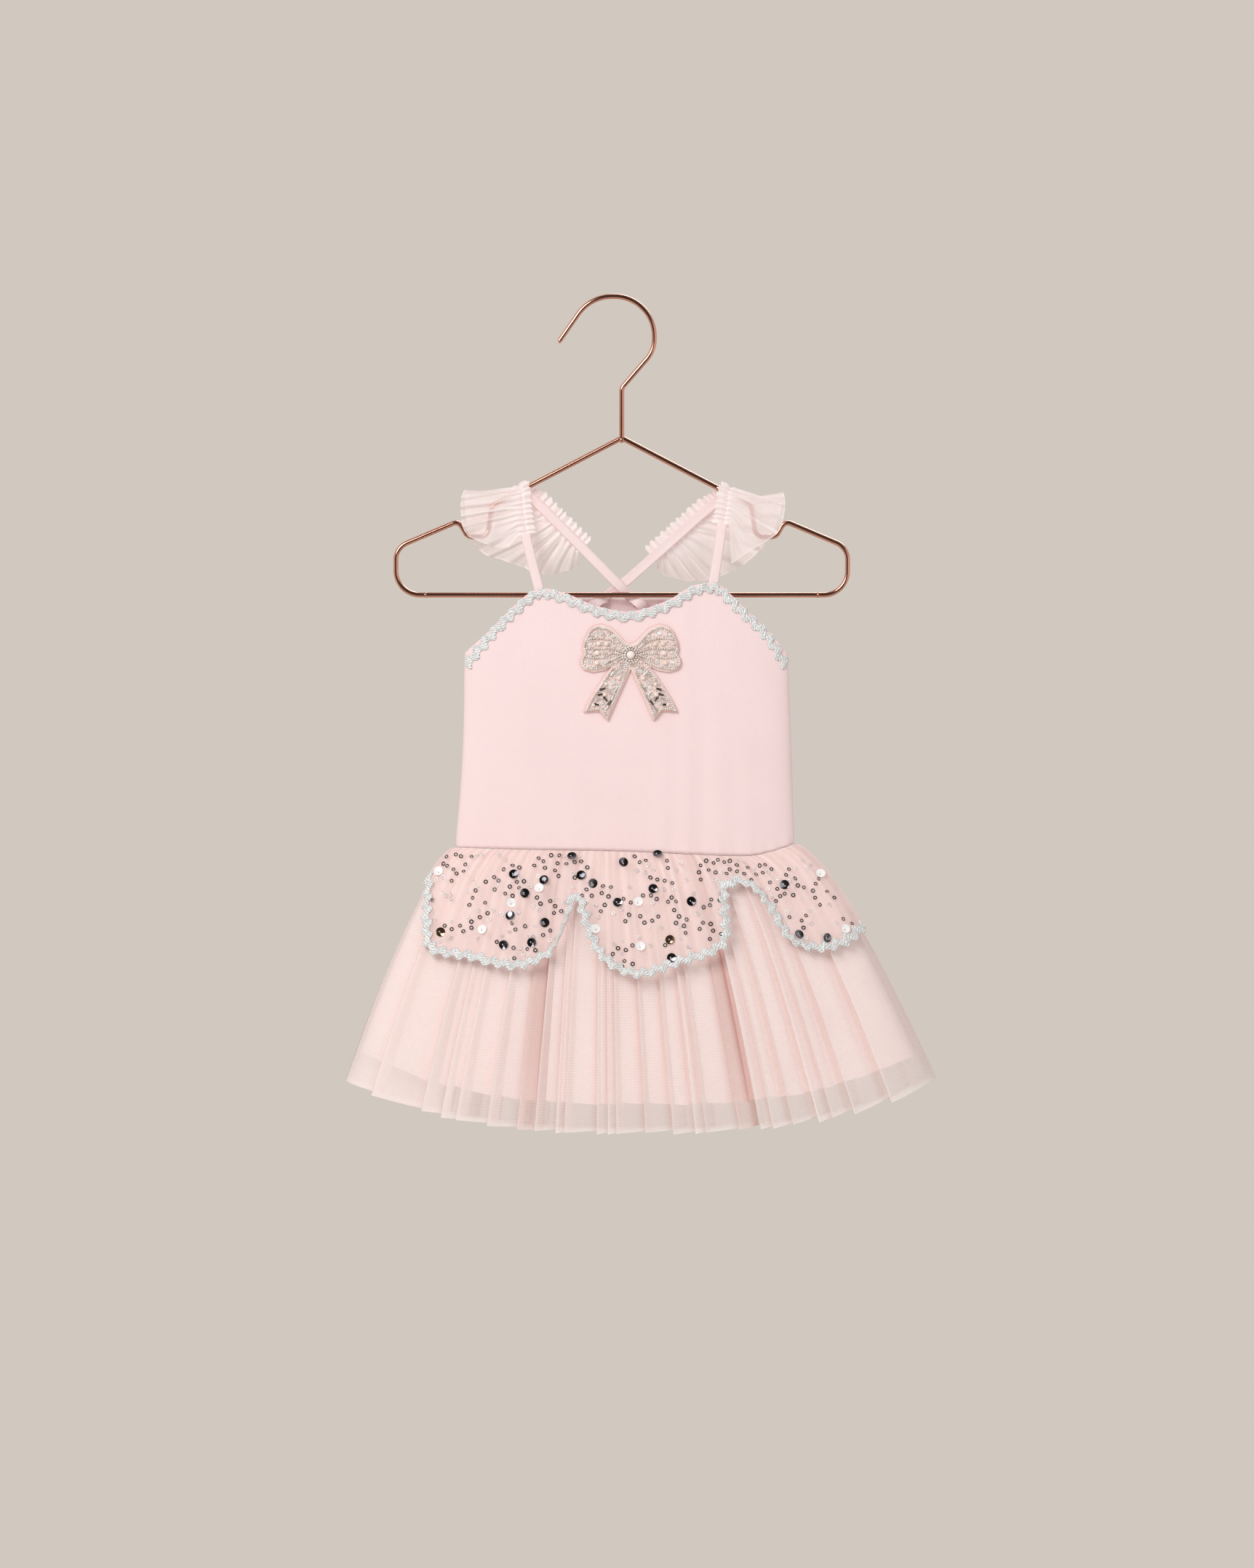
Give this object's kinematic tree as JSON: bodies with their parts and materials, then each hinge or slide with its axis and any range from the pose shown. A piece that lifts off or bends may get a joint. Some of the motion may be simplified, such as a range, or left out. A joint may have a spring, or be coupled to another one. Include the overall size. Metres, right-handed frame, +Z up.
{
  "type": "ballet tutu dress on a wire hanger",
  "caption": "Toddler's ballet dress with jersey bodice, shoulder ruffles, beaded bow and pleated tulle skirt under a scalloped sequin overskirt, hung by crossed straps on a bent-wire hanger.",
  "frame": {"origin": "where the underside of the hook's crown rests on a nail or rail", "axes": "+Z up, from the skirt's hem to the hook; -Y out of the front of the dress; +X to the right as the front is seen"},
  "size_m": [0.394, 0.0793, 0.558],
  "materials": {
    "hanger_wire": "polished rose gold plating on steel wire",
    "jersey": "matt pale pink knitted jersey",
    "metallic_braid": "silver-white metallic zigzag braid",
    "beading": "glass beads, pearls and clear stones on pink backing",
    "tulle": "sheer pale pink tulle, pleated",
    "under_tulle": "pale pink tulle lining layer",
    "sequin_mesh": "pink mesh set with small sequins",
    "ribbon": "soft pink satin ribbon"
  },
  "bodies": {
    "root": {"hanger_hook": "hanger_wire", "hanger_arm_left": "hanger_wire", "hanger_arm_right": "hanger_wire", "hanger_bar": "hanger_wire", "bodice_front": "jersey", "bodice_back": "jersey", "neck_braid": "metallic_braid", "bow_applique": "beading", "skirt_outer_front": "tulle", "skirt_outer_back": "tulle", "skirt_under_front": "under_tulle", "skirt_under_back": "under_tulle", "overskirt_front": "sequin_mesh", "overskirt_back": "sequin_mesh", "overskirt_braid_front": "metallic_braid", "overskirt_braid_back": "metallic_braid", "strap_left": "ribbon", "strap_right": "ribbon", "ruffle_left": "tulle", "ruffle_right": "tulle"}
  },
  "joints": []
}
